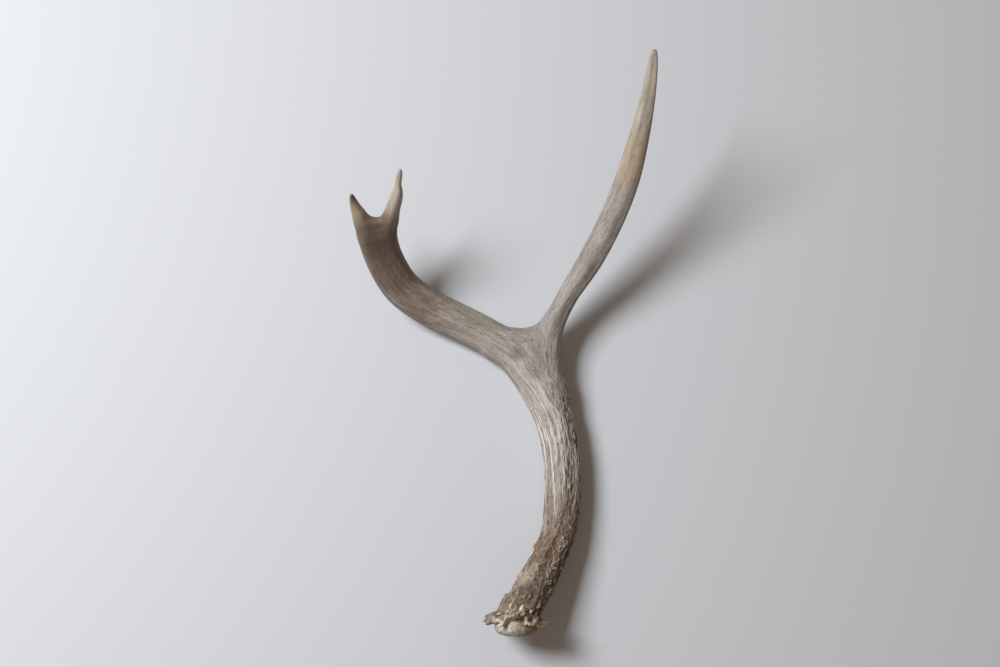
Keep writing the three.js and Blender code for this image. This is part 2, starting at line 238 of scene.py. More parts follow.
def readyLimb(limb, lengthAtStart=0.0):
    stations = np.array(limb["stations"], float)
    steps = np.linspace(0, len(stations) - 1, (len(stations) - 1) * limbSteps + 1)
    centre = splineThrough(stations[:, :3], steps, True)
    half = np.maximum(splineThrough(stations[:, 3:] / 2, steps, False), 0.3)
    tangent = np.gradient(centre, axis=0)
    pace = np.linalg.norm(tangent, axis=1)
    tangent /= pace[:, None]
    across = np.cross(tangent, (0, 0, 1))
    across /= np.linalg.norm(across, axis=1)[:, None]
    length = lengthAtStart + np.concatenate([[0], np.cumsum((pace[1:] + pace[:-1]) / 2)])
    looks = np.array(limb["looks"], float)
    look = np.stack([np.interp(steps, looks[:, 0], column) for column in looks[:, 1:].T], 1)
    limb["table"] = np.hstack([centre, tangent, across, np.cross(across, tangent), half, length[:, None],
                               steps[:, None], look])
    limb["pace"] = pace
    return limb


def rowsAt(table, place):
    low = np.minimum(place.astype(int), len(table) - 2)
    share = (place - low)[:, None]
    return table[low] * (1 - share) + table[low + 1] * share


def sectionOf(limb, points):
    # Each point's nearest section of the limb, and where the point lies in it. A first guess from every third
    # section is settled by a few steps along the limb, so that neighbours in a bend don't jump.
    path = np.hstack([limb["table"][:, :6], limb["pace"][:, None]])
    centres = path[::3, :3]
    place = 3.0 * np.argmin((centres ** 2).sum(1) - 2 * points @ centres.T, axis=1)
    for _ in range(4):
        row = rowsAt(path, place)
        along = ((points - row[:, :3]) * row[:, 3:6]).sum(1) / row[:, 6]
        place = np.clip(place + along, 0, len(path) - 1)
    section = rowsAt(limb["table"], place)
    offset = points - section[:, :3]
    local = [(offset * section[:, start:start + 3]).sum(1) for start in (6, 9, 3)]
    return section, np.stack(local, 1)


def liftOf(limb, station, angle):
    ridges = limb["ridges"]
    last = len(limb["stations"]) - 1
    along = station / last
    fade = np.minimum(1, 1.4 * (1 - along)) * np.minimum(1, along * 6)
    waves = np.sin(ridges["count"] * (angle + 2 * np.pi * ridges["turns"] * along)) + 0.4 * np.sin(2 * angle + 9 * along)
    lift = ridges["height"] * fade * waves
    for form, sign in [("keel", 1), ("hollow", -1)]:
        if form + "At" in ridges:
            height = ridges["keelHeight"] if form == "keel" else ridges["hollowDepth"]
            tipFade = np.clip((last - station) / (2.5 if form == "keel" else 1.2), 0, 1)
            rise = np.clip((station - ridges[form + "From"]) / 2, 0, 1) * tipFade
            off = np.arctan2(np.sin(angle - ridges[form + "At"]), np.cos(angle - ridges[form + "At"]))
            lift = lift + sign * height * rise * np.exp(-(off / spreads[form]) ** 2)
    return lift


def distanceTo(limb, points):
    section, local = sectionOf(limb, points)
    half = section[:, 12:14]
    angle = np.arctan2(local[:, 1] / half[:, 1], local[:, 0] / half[:, 0])
    flatStart = limb.get("flatStart", False)
    ends = np.where((section[:, 15] <= 0) & flatStart, 0, local[:, 2])
    sizes = np.stack([half[:, 0], half[:, 1], half.min(1)], 1)
    parts = np.stack([local[:, 0], local[:, 1], ends], 1) / sizes
    radius = np.linalg.norm(parts, axis=1)
    away = radius * (radius - 1) / np.maximum(np.linalg.norm(parts / sizes, axis=1), 1e-6)
    away = away - liftOf(limb, section[:, 15], angle)
    if flatStart:
        # cut off square at the first section
        away = np.maximum(away, (limb["table"][0, :3] - points) @ limb["table"][0, 3:6])
    return away, section, local


def softUnion(first, second, reach):
    share = np.clip(0.5 + 0.5 * (second - first) / reach, 0, 1)
    return second * (1 - share) + first * share - reach * share * (1 - share)


blends = {"fork": 6.0, "crown": 7.0, "smallFork": 6.0}


def distanceToCrown(points):
    halfSizes = np.array(crownLook["halfSizes"])
    parts = (points - np.array(crownLook["centre"])) / halfSizes
    radius = np.linalg.norm(parts, axis=1)
    return radius * (radius - 1) / np.maximum(np.linalg.norm(parts / halfSizes, axis=1), 1e-6)


def distanceToAntler(points):
    trunk, rear, arch, outer, inner = (distanceTo(limb, points)[0] for limb in limbs)
    whole = softUnion(softUnion(trunk, rear, blends["fork"]), arch, blends["fork"])
    whole = softUnion(whole, distanceToCrown(points), blends["crown"])
    return softUnion(whole, softUnion(outer, inner, blends["smallFork"]), blends["smallFork"])


def drawnToSkin(points, rounds, step=0.05):
    for _ in range(rounds):
        away = distanceToAntler(points)
        slope = np.stack([distanceToAntler(points + np.eye(3)[axis] * step) - away for axis in range(3)], 1) / step
        slope /= np.maximum((slope ** 2).sum(1), 0.2)[:, None]
        points = points - slope * away[:, None]
    return points


trunk = readyLimb(trunkLimb)
forkLength = float(np.interp(12.2, trunk["table"][:, 15], trunk["table"][:, 14]))
rear = readyLimb(rearLimb, forkLength - 28)
smallForkLength = float(np.interp(21.8, trunk["table"][:, 15], trunk["table"][:, 14]))
outer = readyLimb(outerLimb, smallForkLength)
inner = readyLimb(innerLimb, smallForkLength)
arch = readyLimb(archLimb, forkLength)
limbs = [trunk, rear, arch, outer, inner]
print("limbs laid out, beam and front branch", round(trunk["table"][-1, 14]), "mm long")

skinBuild = {"sides": 24, "coarse": 2.4, "fine": 0.66, "quickFine": 0.8}


def meshFrom(name, points, faces):
    mesh = bpy.data.meshes.new(name)
    mesh.from_pydata([tuple(point) for point in points], [], faces)
    mesh.update()
    return mesh


def objectFrom(name, mesh):
    piece = bpy.data.objects.new(name, mesh)
    bpy.context.scene.collection.objects.link(piece)
    return piece


def sweptLimb(limb):
    table = limb["table"][::3]
    angles = np.linspace(0, 2 * np.pi, skinBuild["sides"], endpoint=False)
    rings = (table[:, None, :3]
             + table[:, None, 6:9] * (np.cos(angles)[None, :, None] * table[:, None, 12:13])
             + table[:, None, 9:12] * (np.sin(angles)[None, :, None] * table[:, None, 13:14]))
    sides, count = skinBuild["sides"], len(table)
    faces = [[ring * sides + side, ring * sides + (side + 1) % sides,
              (ring + 1) * sides + (side + 1) % sides, (ring + 1) * sides + side]
             for ring in range(count - 1) for side in range(sides)]
    faces.append(list(range(sides))[::-1])
    faces.append([(count - 1) * sides + side for side in range(sides)])
    return meshFrom("limb", rings.reshape(-1, 3), faces)


def joined(name, meshes):
    build = bmesh.new()
    for mesh in meshes:
        build.from_mesh(mesh)
    bmesh.ops.recalc_face_normals(build, faces=build.faces)
    whole = bpy.data.meshes.new(name)
    build.to_mesh(whole)
    build.free()
    return whole


def evaluated(piece):
    # The piece with its modifiers, as a plain mesh.
    graph = bpy.context.evaluated_depsgraph_get()
    mesh = bpy.data.meshes.new_from_object(piece.evaluated_get(graph), preserve_all_data_layers=True, depsgraph=graph)
    piece.modifiers.clear()
    return mesh


def discard(piece):
    bpy.data.objects.remove(piece, do_unlink=True)


def remeshed(mesh, voxel, smoothing=0):
    piece = objectFrom("remeshing", mesh)
    remesh = piece.modifiers.new("Remesh", "REMESH")
    remesh.mode = "VOXEL"
    remesh.voxel_size = voxel
    if smoothing:
        smooth = piece.modifiers.new("Smooth", "SMOOTH")
        smooth.iterations = smoothing
    result = evaluated(piece)
    discard(piece)
    return result


def subdivided(mesh, levels):
    piece = objectFrom("subdividing", mesh)
    finer = piece.modifiers.new("Subdivision", "SUBSURF")
    finer.levels = finer.render_levels = levels
    result = evaluated(piece)
    discard(piece)
    return result


def pointsOf(mesh):
    points = np.empty(len(mesh.vertices) * 3)
    mesh.vertices.foreach_get("co", points)
    return points.reshape(-1, 3)


def setPoints(mesh, points):
    mesh.vertices.foreach_set("co", points.ravel())
    mesh.update()


def storeField(mesh, name, values):
    kind = "FLOAT_VECTOR" if values.ndim == 2 else "FLOAT"
    field = mesh.attributes.get(name) or mesh.attributes.new(name, kind, "POINT")
    field.data.foreach_set("vector" if values.ndim == 2 else "value", values.astype(np.float32).ravel())


def storeLimbFields(mesh):
    # Where each point lies along its limb, which way the grain runs there, how worn and stained it is, and the painted
    # shade that the front branch's tone carries.
    points = pointsOf(mesh)
    marked = (trunk, rear, outer, inner)
    found = [distanceTo(limb, points) for limb in marked]
    near = np.stack([distance for distance, _, _ in found], 1)
    joining = [np.clip(section[:, 15] / limb["joins"], 0, 1) if "joins" in limb else np.ones(len(points))
               for limb, (_, section, _) in zip(marked, found)]
    weight = np.exp(-(near - near.min(1, keepdims=True)) / 4.0) * np.stack(joining, 1)
    weight /= np.maximum(weight.sum(1, keepdims=True), 1e-9)

    def blended(columns):
        return sum(weight[:, i:i + 1] * columns(*found[i][1:]) for i in range(len(found)))

    def grainIn(section, local):
        return np.stack([local[:, 0], local[:, 1], section[:, 14] + local[:, 2]], 1)

    sides = np.stack([grainIn(*found[i][1:]) for i in (1, 2, 3)], 1)
    closest = near[:, 1:].argmin(1)
    storeField(mesh, "beamGrain", grainIn(*found[0][1:]))
    storeField(mesh, "sideGrain", sides[np.arange(len(points)), closest] + (0, 0, 300))
    storeField(mesh, "sideShare", 1 - weight[:, 0])
    storeField(mesh, "flow", blended(lambda section, local: section[:, 3:6]))
    storeField(mesh, "tone", blended(lambda section, local: section[:, 16:19]))
    pearled = blended(lambda section, local: section[:, 19:20])
    furrowed = blended(lambda section, local: section[:, 20:21])
    cast = np.clip(2.4 - found[0][1][:, 15:16], 0, 1)
    storeField(mesh, "rough", np.hstack([pearled, furrowed, cast]))


skin = remeshed(joined("skin", [sweptLimb(limb) for limb in limbs]), skinBuild["coarse"], 2)
setPoints(skin, drawnToSkin(pointsOf(skin), 4))
skin = subdivided(skin, 1)
setPoints(skin, drawnToSkin(pointsOf(skin), 2))
storeLimbFields(skin)
print("skin drawn over the limbs,", len(skin.polygons), "faces")


def newTree(name, inputs):
    tree = bpy.data.node_groups.new(name, "GeometryNodeTree")
    kinds = {float: "NodeSocketFloat", int: "NodeSocketInt", tuple: "NodeSocketVector"}
    tree.interface.new_socket("Geometry", in_out="INPUT", socket_type="NodeSocketGeometry")
    for label, value in inputs.items():
        socket = tree.interface.new_socket(label, in_out="INPUT", socket_type=kinds[type(value)])
        socket.default_value = value
    tree.interface.new_socket("Material", in_out="INPUT", socket_type="NodeSocketMaterial")
    tree.interface.new_socket("Geometry", in_out="OUTPUT", socket_type="NodeSocketGeometry")
    return tree, addNode(tree, "NodeGroupInput").outputs


def endTree(tree, given, geometry):
    real = addNode(tree, "GeometryNodeRealizeInstances", None, {0: geometry})
    painted = addNode(tree, "GeometryNodeSetMaterial", None, {0: real.outputs[0], 2: given["Material"]})
    addNode(tree, "NodeGroupOutput", None, {0: painted.outputs[0]})


def grownBy(tree, mesh, values, material=None):
    # What a tree makes of a mesh, with its inputs set by their sockets' identifiers.
    piece = objectFrom("growing", mesh)
    growth = piece.modifiers.new("Growth", "NODES")
    growth.node_group = tree
    for item in tree.interface.items_tree:
        if item.in_out == "INPUT" and item.name in values:
            growth[item.identifier] = values[item.name]
        if item.in_out == "INPUT" and item.name == "Material":
            growth[item.identifier] = material
    result = evaluated(piece)
    discard(piece)
    return result


def randomBetween(tree, low, high, seed, shift=0):
    plugs = {2: low, 3: high, "Seed": calc(tree, "ADD", seed, float(shift))}
    return addNode(tree, "FunctionNodeRandomValue", {"data_type": "FLOAT"}, plugs).outputs[1]


def joinedXYZ(tree, x, y, z):
    return addNode(tree, "ShaderNodeCombineXYZ", None, {0: x, 1: y, 2: z}).outputs[0]


burrLook = {
    "centre": (11.9, -211, 72.5), "axis": (0.04, 0.985, -0.17),
    # its section: how far out from the ring, and how far up the beam
    "section": [(-6.5, 15), (-4.4, 10), (-1.6, 5.8), (0.8, 2.8), (2.6, 1.5), (3.9, 0.2), (3.4, -1.3), (0.6, -1.7),
                (-3, -1.4), (-6.5, -0.4)],
    # its rim: [degrees round from the right by the front, reach, rise]
    "rim": [[0, 24, -0.6], [20, 22.6, -2.6], [36, 23, -3.4], [50, 22.4, -0.4], [60, 23, -2.4], [69, 20.2, 1.6],
            [78, 22.4, 6.2], [90, 22.4, 3.8], [103, 22.6, 3], [113, 23.4, 0.4], [122, 22, -4.2], [133, 19.4, -0.4],
            [145, 22.6, -1.6], [153, 21, 0.6], [164, 23.6, -3.2], [176, 23.6, 0.4], [190, 23.2, 2.2],
            [206, 21.8, -0.4], [226, 23.2, -2.2],
            [246, 21.4, 1], [266, 23, -0.6], [286, 21.8, -2.6], [306, 23.6, 0.2], [326, 21.8, 1.6], [344, 23.4, -1.6],
            [360, 24, -0.6]],
    "Radius": 17.6, "Fingers": 2.1, "Finger Count": 2.6, "Lean": (0.5, 0.4, 0.0),
    "Abrupt Side": 0.35, "Knobs": 38, "Knob Size": 1.3, "Seed": 11,
}
burrRange = {"reach": (12, 28), "rise": (-10, 10)}  # what 0 and 1 stand for on the rim's two curves


def rimCurve(tree, turn, column, name):
    node = addNode(tree, "ShaderNodeFloatCurve", None, {"Value": turn})
    low, high = burrRange[name]
    curve = node.mapping.curves[0]
    places = [(row[0] / 360, (row[column] - low) / (high - low)) for row in burrLook["rim"]]
    curve.points[0].location = places[0]
    curve.points[1].location = places[-1]
    for place in places[1:-1]:
        curve.points.new(*place)
    node.mapping.update()
    return calc(tree, "MULTIPLY_ADD", node.outputs[0], float(high - low), float(low))


def burrTree():
    # A skirt round the local Z axis that flares to a wavy rim, with knobs along the rim.
    inputs = {key: burrLook[key] for key in burrLook if key[0].isupper()}
    tree, given = newTree("BurrRing", inputs)
    seed = given["Seed"]
    circle = addNode(tree, "GeometryNodeCurvePrimitiveCircle", None, {"Resolution": 220, "Radius": given["Radius"]})
    section = addNode(tree, "GeometryNodeMeshToCurve", None, {0: given["Geometry"]})
    rounded = addNode(tree, "GeometryNodeCurveSplineType", {"spline_type": "CATMULL_ROM"}, {0: section.outputs[0]})
    fineSection = addNode(tree, "GeometryNodeResampleCurve", None, {0: rounded.outputs[0], "Count": 44})
    skirt = addNode(tree, "GeometryNodeCurveToMesh", None, {0: circle.outputs[0], 1: fineSection.outputs[0], "Fill Caps": False})

    place = addNode(tree, "GeometryNodeInputPosition").outputs[0]
    flat = vectorCalc(tree, "MULTIPLY", place, (1, 1, 0))
    outward = vectorCalc(tree, "NORMALIZE", flat, (0, 0, 0))
    reach = addNode(tree, "ShaderNodeVectorMath", {"operation": "LENGTH"}, {0: flat}).outputs[1]
    rim = ease(tree, reach, 13.5, 20.0)
    height = addNode(tree, "ShaderNodeSeparateXYZ", None, {0: place}).outputs[2]
    sides = addNode(tree, "ShaderNodeSeparateXYZ", None, {0: outward}).outputs
    leftward = calc(tree, "MULTIPLY_ADD", sides[0], -0.5, 0.5)
    front = calc(tree, "MULTIPLY", sides[1], -1.0)
    turn = calc(tree, "DIVIDE", calc(tree, "ARCTAN2", front, sides[0]), 2 * math.pi)
    turn = calc(tree, "FRACT", calc(tree, "ADD", turn, 1.0))
    lobes = calc(tree, "SUBTRACT", rimCurve(tree, turn, 1, "reach"), 21.4)
    waves = rimCurve(tree, turn, 2, "rise")

    count = given["Finger Count"]
    spot = vectorCalc(tree, "MULTIPLY", outward, joinedXYZ(tree, count, count, count))
    spot = vectorCalc(tree, "ADD", spot, joinedXYZ(tree, seed, 7.0, calc(tree, "MULTIPLY", height, 0.05)))
    fromCrest = calc(tree, "ABSOLUTE", calc(tree, "SUBTRACT", noise(tree, spot, 1.0).outputs[0], 0.5))
    fingers = calc(tree, "SUBTRACT", ease(tree, fromCrest, 0.09, 0.0), 0.4)
    fingers = calc(tree, "MULTIPLY", fingers, given["Fingers"])
    out = calc(tree, "ADD", calc(tree, "MULTIPLY", rim, lobes), fingers)
    abrupt = mixed(tree, leftward, given["Abrupt Side"], 1.0)
    upward = calc(tree, "MAXIMUM", height, 0.0)
    squeeze = calc(tree, "MULTIPLY", upward, calc(tree, "SUBTRACT", abrupt, 1.0))
    rise = calc(tree, "ADD", calc(tree, "MULTIPLY", rim, waves), squeeze)
    leaning = vectorCalc(tree, "MULTIPLY", given["Lean"], joinedXYZ(tree, upward, upward, upward))
    offset = vectorCalc(tree, "MULTIPLY", outward, joinedXYZ(tree, out, out, out))
    offset = vectorCalc(tree, "ADD", vectorCalc(tree, "ADD", offset, leaning), joinedXYZ(tree, 0.0, 0.0, rise))
    ruffled = addNode(tree, "GeometryNodeSetPosition", None, {0: skirt.outputs[0], "Offset": offset}).outputs[0]

    ball = addNode(tree, "GeometryNodeMeshIcoSphere", None, {"Radius": 1.0, "Subdivisions": 3}).outputs[0]
    turn = addNode(tree, "FunctionNodeAxesToRotation", {"primary_axis": "X", "secondary_axis": "Z"},
                   {0: outward, 1: (0, 0, 1)}).outputs[0]
    points = addNode(tree, "GeometryNodeCurveToPoints", {"mode": "COUNT"}, {0: circle.outputs[0], 1: given["Knobs"]}).outputs[0]
    push = calc(tree, "ADD", randomBetween(tree, 1.0, 2.8, seed, 4), lobes)
    slip = joinedXYZ(tree, randomBetween(tree, -1.5, 1.5, seed, 1), randomBetween(tree, -1.5, 1.5, seed, 2),
                     calc(tree, "ADD", randomBetween(tree, -1.3, 1.0, seed, 3), waves))
    knobOffset = vectorCalc(tree, "ADD", vectorCalc(tree, "MULTIPLY", outward, joinedXYZ(tree, push, push, push)), slip)
    moved = addNode(tree, "GeometryNodeSetPosition", None, {0: points, "Offset": knobOffset}).outputs[0]
    sizes = [calc(tree, "MULTIPLY", given["Knob Size"], randomBetween(tree, low, high, seed, shift))
             for low, high, shift in [(0.8, 1.7, 5), (0.6, 1.2, 6), (0.6, 1.4, 7)]]
    knobs = addNode(tree, "GeometryNodeInstanceOnPoints", None,
                    {0: moved, 2: ball, "Rotation": turn, "Scale": joinedXYZ(tree, *sizes)}).outputs[0]
    both = addNode(tree, "GeometryNodeJoinGeometry")
    for part in (knobs, ruffled):
        tree.links.new(part, both.inputs[0])
    endTree(tree, given, both.outputs[0])
    return tree


def burrSection():
    points = burrLook["section"]
    mesh = bpy.data.meshes.new("burrSection")
    edges = [(i, (i + 1) % len(points)) for i in range(len(points))]
    mesh.from_pydata([(out, -up, 0) for out, up in points], edges, [])  # a swept section's y runs down the axis
    return mesh


pearlLook = {"Spacing": 4.0, "Width": 1.4, "Length": 2.4, "Height": 1.4, "Sink": 0.3, "Seed": 5}


def pearlTree():
    # Pearls scattered over the skin where it is pearled, drawn out along the grain.
    tree, given = newTree("Pearls", pearlLook)
    pearled = addNode(tree, "ShaderNodeSeparateXYZ", None,
                      {0: addNode(tree, "GeometryNodeInputNamedAttribute", {"data_type": "FLOAT_VECTOR"}, {0: "rough"}).outputs[0]})
    flow = addNode(tree, "GeometryNodeInputNamedAttribute", {"data_type": "FLOAT_VECTOR"}, {0: "flow"}).outputs[0]
    grain = addNode(tree, "GeometryNodeInputNamedAttribute", {"data_type": "FLOAT_VECTOR"}, {0: "beamGrain"}).outputs[0]
    rightward = ease(tree, addNode(tree, "ShaderNodeSeparateXYZ", None, {0: grain}).outputs[0], -6.0, 8.0, 0.3, 1.0)
    density = calc(tree, "MULTIPLY", ease(tree, pearled.outputs[0], 0.2, 0.95), rightward)
    spread = addNode(tree, "GeometryNodeDistributePointsOnFaces", {"distribute_method": "POISSON"},
                     {0: given["Geometry"], "Distance Min": given["Spacing"], "Density Max": 0.12,
                      "Density Factor": density, "Seed": given["Seed"]})
    facing = addNode(tree, "FunctionNodeAxesToRotation", {"primary_axis": "Z", "secondary_axis": "Y"},
                     {0: spread.outputs["Normal"], 1: flow}).outputs[0]
    ball = addNode(tree, "GeometryNodeMeshIcoSphere", None, {"Radius": 1.0, "Subdivisions": 3}).outputs[0]
    seed = given["Seed"]
    grow = [calc(tree, "MULTIPLY", given[size], randomBetween(tree, low, high, seed, shift))
            for size, low, high, shift in [("Width", 0.7, 1.4, 1), ("Length", 0.5, 1.6, 2), ("Height", 0.5, 1.35, 3)]]
    sunk = vectorCalc(tree, "MULTIPLY", spread.outputs["Normal"], joinedXYZ(tree, *[calc(tree, "MULTIPLY", given["Sink"], -1.0)] * 3))
    placed = addNode(tree, "GeometryNodeSetPosition", None, {0: spread.outputs[0], "Offset": sunk}).outputs[0]
    pearls = addNode(tree, "GeometryNodeInstanceOnPoints", None,
                     {0: placed, 2: ball, "Rotation": facing, "Scale": joinedXYZ(tree, *grow)}).outputs[0]
    endTree(tree, given, pearls)
    return tree


def burrPlace():
    axis = Vector(burrLook["axis"]).normalized()
    right = axis.cross(Vector((0, 0, 1))).normalized()
    place = Matrix((right, axis.cross(right), axis)).transposed().to_4x4()
    place.translation = burrLook["centre"]
    return place


burrMesh = grownBy(burrTree(), burrSection(), burrLook)
burrMesh.transform(burrPlace())
pearlMesh = grownBy(pearlTree(), skin, pearlLook)
print("burr and pearls grown,", len(pearlMesh.polygons), "pearl faces")

fineSize = skinBuild["fine"]
hide = remeshed(joined("hide", [skin, burrMesh, pearlMesh]), fineSize, 2)
smoothPoints = pointsOf(hide)
settled = distanceToAntler(smoothPoints) < 0.3
smoothPoints[settled] = drawnToSkin(smoothPoints[settled], 2)
setPoints(hide, smoothPoints)
storeLimbFields(hide)
print("skin, burr and pearls made one,", len(hide.vertices), "points")

barkLook = {"Lump Height": 1.6, "Crest Height": 0.95, "Curl Height": 0.38, "Pit Depth": 0.7, "Furrow Depth": 0.38,
            "Line Depth": 0.12, "Smooth Patches": 0.3, "Seal Height": 0.9}


def barkTree():
    # Lumps and wrinkles near the burr, lengthwise furrows up the beam and fine lines all over but the worn tips.
    tree, given = newTree("Bark", barkLook)

    def field(name, kind="FLOAT_VECTOR"):
        return addNode(tree, "GeometryNodeInputNamedAttribute", {"data_type": kind}, {0: name}).outputs[0]

    grains = readGrains(tree, field("beamGrain"), field("sideGrain"), field("sideShare", "FLOAT"))
    masks = addNode(tree, "ShaderNodeSeparateXYZ", None, {0: field("rough")}).outputs
    rubbed = addNode(tree, "ShaderNodeSeparateXYZ", None, {0: field("tone")}).outputs[2]
    lump = calc(tree, "SUBTRACT", grainNoise(tree, grains, (0.09, 0.09, 0.06), 1.0), 0.5)
    lump = calc(tree, "MULTIPLY", lump, calc(tree, "MULTIPLY", given["Lump Height"], 2.2))
    crest = calc(tree, "MULTIPLY", calc(tree, "SUBTRACT", crestField(tree, grains, "crest"), 0.3), given["Crest Height"])
    curl = calc(tree, "MULTIPLY", calc(tree, "SUBTRACT", crestField(tree, grains, "curl"), 0.3), given["Curl Height"])
    pit = calc(tree, "MULTIPLY", ease(tree, grainNoise(tree, grains, (0.3, 0.3, 0.2), 1.0), 0.38, 0.28), given["Pit Depth"])
    patchy = ease(tree, grainNoise(tree, grains, (0.06, 0.06, 0.045), 1.0), 0.4, 0.56, given["Smooth Patches"], 1.1)
    folds = calc(tree, "MULTIPLY", calc(tree, "ADD", crest, calc(tree, "SUBTRACT", curl, pit)), patchy)
    wrinkled = calc(tree, "MULTIPLY", masks[0], calc(tree, "ADD", lump, folds))
    furrow = calc(tree, "MULTIPLY", calc(tree, "MULTIPLY", masks[1], given["Furrow Depth"]), furrowField(tree, grains))
    line = grainNoise(tree, grains, (0.8, 0.8, 0.04), 2.0, 0.5, 1.5)
    line = calc(tree, "MULTIPLY", calc(tree, "SUBTRACT", line, 0.5), calc(tree, "MULTIPLY", given["Line Depth"], 2.0))
    line = calc(tree, "MULTIPLY", line, calc(tree, "SUBTRACT", 1.0, rubbed))
    height = calc(tree, "ADD", calc(tree, "SUBTRACT", wrinkled, furrow), line)
    porous = calc(tree, "SUBTRACT", grainNoise(tree, grains, (0.22, 0.22, 0.22), 3.0, 0.6), 0.5)
    porous = calc(tree, "MULTIPLY", porous, calc(tree, "MULTIPLY", given["Seal Height"], 2.0))
    height = calc(tree, "ADD", height, calc(tree, "MULTIPLY", porous, masks[2]))
    normal = addNode(tree, "GeometryNodeInputNormal").outputs[0]
    lifted = addNode(tree, "GeometryNodeSetPosition", None,
                     {0: given["Geometry"], "Offset": vectorCalc(tree, "MULTIPLY", normal, joinedXYZ(tree, height, height, height))})
    endTree(tree, given, lifted.outputs[0])
    return tree


def blurred(values, edges, rounds):
    count = np.bincount(edges.ravel(), minlength=len(values))
    for _ in range(rounds):
        total = (np.bincount(edges[:, 0], values[edges[:, 1]], len(values))
                 + np.bincount(edges[:, 1], values[edges[:, 0]], len(values)))
        values = 0.5 * values + 0.5 * total / np.maximum(count, 1)
    return values


hide = grownBy(barkTree(), hide, barkLook)
edges = np.empty(len(hide.edges) * 2, int)
hide.edges.foreach_get("vertices", edges)
height = distanceToAntler(pointsOf(hide))
storeField(hide, "relief", np.clip(height, -2, 4) - blurred(np.clip(height, -2, 4), edges.reshape(-1, 2), 30))
print("bark raised, from", round(float(height.min()), 2), "to", round(float(height.max()), 2), "mm")

boneLook = {
    "coolTones": [(0.0, (0.03, 0.025, 0.02)), (0.25, (0.1, 0.083, 0.07)), (0.5, (0.25, 0.225, 0.2)),
                  (0.72, (0.45, 0.42, 0.39)), (1.0, (0.75, 0.73, 0.7))],
    "warmTones": [(0.0, (0.025, 0.015, 0.009)), (0.25, (0.1, 0.063, 0.04)), (0.5, (0.26, 0.185, 0.128)),
                  (0.72, (0.46, 0.37, 0.28)), (1.0, (0.74, 0.64, 0.51))],
    "dirt": (0.04, 0.02, 0.011), "crest": (0.72, 0.61, 0.47), "chalk": (0.84, 0.83, 0.8),
    "pores": (0.17, 0.105, 0.062),
}
# Marks on the bone, each at a place in the growth frame, with a reach in millimetres. Most are its own stains. The dark
# marks under the seal, in the small fork and on the front branch's face are painted shade, and the pale band on the
# branch's left side is a painted highlight.
beamSlot, forkSlots = ["beam_bone"], ["branch_bone", "small_tine_bone"]
stainsAndShades = {
    "crownPatch": {"on": beamSlot, "at": (14, -15, 27), "reach": 9, "colour": (0.11, 0.09, 0.075), "strength": 0.5},
    "crownMoss": {"on": ["beam_bone", "branch_bone"], "at": (-6, 13, 20), "reach": 20, "colour": (0.2, 0.21, 0.13),
                  "strength": 0.35},
    "oldBark": {"on": beamSlot, "at": (31, -160, 60), "reach": 20, "colour": (0.13, 0.06, 0.03), "strength": 0.55},
    "barePatch": {"on": beamSlot, "at": (18.5, -181, 67), "reach": 14, "colour": (0.58, 0.5, 0.41), "strength": 0.42},
    "darkFoot": {"on": beamSlot, "at": (22, -198, 80), "reach": 17, "colour": (0.1, 0.062, 0.04), "strength": 0.55},
    "sealPlug": {"on": beamSlot, "at": (12, -222, 86), "reach": 27, "colour": (0.27, 0.17, 0.1), "strength": 0.6},
    "sealPale": {"on": beamSlot, "at": (3, -221, 90), "reach": 20, "colour": (0.88, 0.83, 0.75), "strength": 0.9},
    # painted contact shadow under the seal
    "sealContactShade": {"on": beamSlot, "at": (14, -227, 80), "reach": 10, "colour": (0.08, 0.048, 0.028), "strength": 0.7},
    "burrRim": {"on": beamSlot, "at": (11, -213, 88), "reach": 36, "colour": (0.84, 0.73, 0.56), "strength": 0.95,
                "raised": True},
    # painted shade in the hollow of the small fork
    "forkHollowShade": {"on": forkSlots, "at": (-90, 71, 77), "reach": 24, "colour": (0.095, 0.06, 0.042), "strength": 0.85},
    # painted shade on the front branch's face, which turns away from the light
    "branchFaceShade": {"on": forkSlots, "at": (-87, 52, 61), "reach": 20, "colour": (0.12, 0.077, 0.053), "strength": 0.4},
    # painted highlight along the branch's left side, where the light falls
    "branchSideHighlight": {"on": forkSlots, "at": (-112, 61, 52), "reach": 23, "colour": (0.52, 0.51, 0.49), "strength": 0.8},
    "tineAmber": {"on": forkSlots, "at": (-106, 86, 76), "reach": 13, "colour": (0.45, 0.33, 0.2), "strength": 0.25},
    "outerTip": {"on": forkSlots, "at": (-106, 101, 89), "reach": 11, "colour": (0.06, 0.035, 0.02), "strength": 0.7},
    "rearAmber": {"on": ["rear_tine_bone"], "at": (102, 128, 50), "reach": 32, "colour": (0.5, 0.34, 0.2),
                  "strength": 0.35},
    "rearTip": {"on": ["rear_tine_bone"], "at": (113.2, 210, 82), "reach": 5, "colour": (0.13, 0.12, 0.11),
                "strength": 0.6},
}


def toneRamp(tree, value, stops):
    node = addNode(tree, "ShaderNodeValToRGB", None, {0: value})
    ramp = node.color_ramp
    ramp.interpolation = "B_SPLINE"
    while len(ramp.elements) < len(stops):
        ramp.elements.new(0.5)
    for element, (position, colour) in zip(ramp.elements, stops):
        element.position = position
        element.color = (*colour, 1)
    return node.outputs[0]


def mixColour(tree, share, first, second, blend="MIX"):
    asColour = {6: first, 7: second}
    plugs = {0: share}
    for socket, value in asColour.items():
        plugs[socket] = value if isinstance(value, bpy.types.NodeSocket) else (*value, 1)
    return addNode(tree, "ShaderNodeMix", {"data_type": "RGBA", "blend_type": blend}, plugs).outputs[2]


